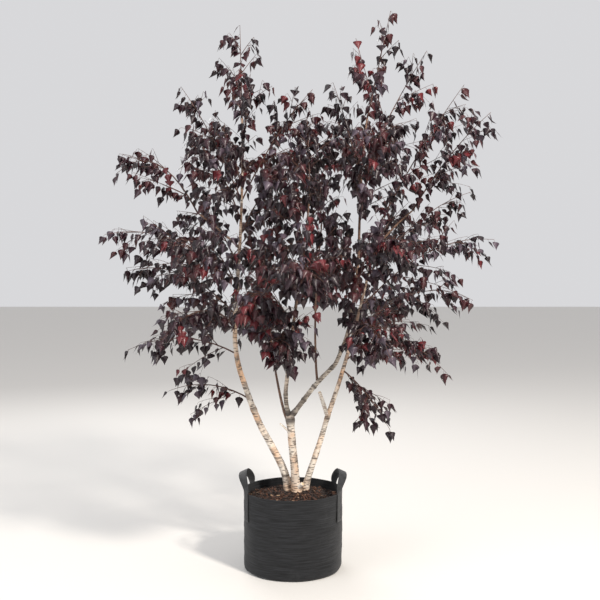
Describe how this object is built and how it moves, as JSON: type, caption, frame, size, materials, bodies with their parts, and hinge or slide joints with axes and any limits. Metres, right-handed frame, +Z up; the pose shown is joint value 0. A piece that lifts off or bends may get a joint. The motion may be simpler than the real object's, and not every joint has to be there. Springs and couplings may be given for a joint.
{
  "type": "potted multi-stem purple silver birch",
  "caption": "Multi-stem silver birch with purple leaves and an airy, V-shaped crown of drooping sprays, standing in a round fabric root bag with strap handles.",
  "frame": {"origin": "centre of the root bag's flat underside, on the ground", "axes": "+Z up, +X to the right and -Y towards the viewer of the picture"},
  "size_m": [1.9563, 1.6589, 2.7852],
  "materials": {
    "bag_fabric": "charcoal black woven fabric, matt, with a faint weave across",
    "webbing": "black woven strap, matt",
    "compost": "dark brown compost with bark chips",
    "pale_bark": "cream-white birch bark with dark bands and tan patches",
    "brown_bark": "copper-brown young bark with pale streaks",
    "purple_leaves": "very dark purple leaves, some crimson, with a slight gloss"
  },
  "bodies": {
    "root": {"bag": "bag_fabric", "bough_back": "brown_bark", "bough_centre": "brown_bark", "bough_front": "brown_bark", "bough_left_arch": "brown_bark", "bough_right": "brown_bark", "bough_right_outer": "brown_bark", "bough_upright": "brown_bark", "compost": "compost", "handle_left": "webbing", "handle_right": "webbing", "leaves_back_centre": "purple_leaves", "leaves_back_left": "purple_leaves", "leaves_centre_front": "purple_leaves", "leaves_centre_high": "purple_leaves", "leaves_centre_inner": "purple_leaves", "leaves_centre_left": "purple_leaves", "leaves_centre_top": "purple_leaves", "leaves_drooping_right": "purple_leaves", "leaves_high_right_back": "purple_leaves", "leaves_high_right_front": "purple_leaves", "leaves_left_arch": "purple_leaves", "leaves_left_back": "purple_leaves", "leaves_left_front": "purple_leaves", "leaves_left_inner": "purple_leaves", "leaves_left_peak": "purple_leaves", "leaves_left_peak_front": "purple_leaves", "leaves_left_peak_right": "purple_leaves", "leaves_low_back": "purple_leaves", "leaves_low_centre": "purple_leaves", "leaves_low_left": "purple_leaves", "leaves_low_right": "purple_leaves", "leaves_low_right_back": "purple_leaves", "leaves_low_right_front": "purple_leaves", "leaves_lower_left": "purple_leaves", "leaves_lower_left_back": "purple_leaves", "leaves_lower_left_front": "purple_leaves", "leaves_lower_right": "purple_leaves", "leaves_middle_left": "purple_leaves", "leaves_middle_right": "purple_leaves", "leaves_outer_left": "purple_leaves", "leaves_outer_right": "purple_leaves", "leaves_right_back": "purple_leaves", "leaves_right_front": "purple_leaves", "leaves_right_inner": "purple_leaves", "leaves_right_peak": "purple_leaves", "leaves_right_peak_left": "purple_leaves", "leaves_right_peak_right": "purple_leaves", "leaves_side_right": "purple_leaves", "leaves_upper_back": "purple_leaves", "leaves_upper_left": "purple_leaves", "leaves_upper_left_back": "purple_leaves", "leaves_upper_left_front": "purple_leaves", "leaves_upper_right": "purple_leaves", "stem_left": "pale_bark", "stem_middle": "pale_bark", "stem_right": "pale_bark"}
  },
  "joints": []
}
